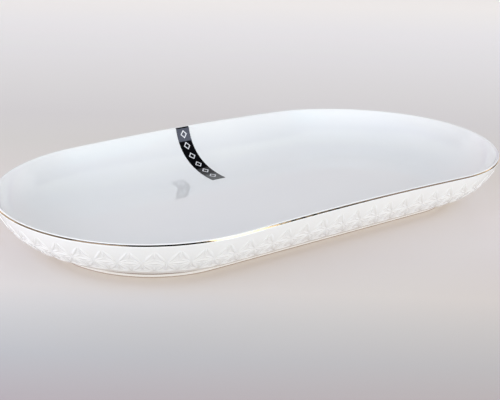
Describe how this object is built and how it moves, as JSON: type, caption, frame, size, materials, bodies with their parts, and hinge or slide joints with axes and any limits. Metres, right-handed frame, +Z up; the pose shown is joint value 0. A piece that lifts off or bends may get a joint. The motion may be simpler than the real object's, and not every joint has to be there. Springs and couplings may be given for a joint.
{
  "type": "oval serving platter",
  "caption": "Low oval porcelain serving dish with round ends, a raised hemp-leaf relief round the wall, a gilded lip and a label inside.",
  "frame": {"origin": "middle of the standing face, at table height", "axes": "+X along the platter's length, +Y across it towards the long wall that carries the label, +Z up"},
  "size_m": [0.36, 0.1882, 0.0354],
  "materials": {
    "glazed_porcelain": "gloss",
    "bare_porcelain": "matte",
    "gold_line": "polished",
    "label_film": "gloss",
    "label_ink": "satin"
  },
  "bodies": {
    "root": {"well_floor": "glazed_porcelain", "side_wall": "glazed_porcelain", "rim_lip": "glazed_porcelain", "foot_ring": "glazed_porcelain", "bare_foot_band": "bare_porcelain", "relief_edge_leaves": "glazed_porcelain", "relief_spoke_leaves": "glazed_porcelain", "rim_gilding": "gold_line", "label_strip": "label_film", "label_marks": "label_ink"}
  },
  "joints": []
}
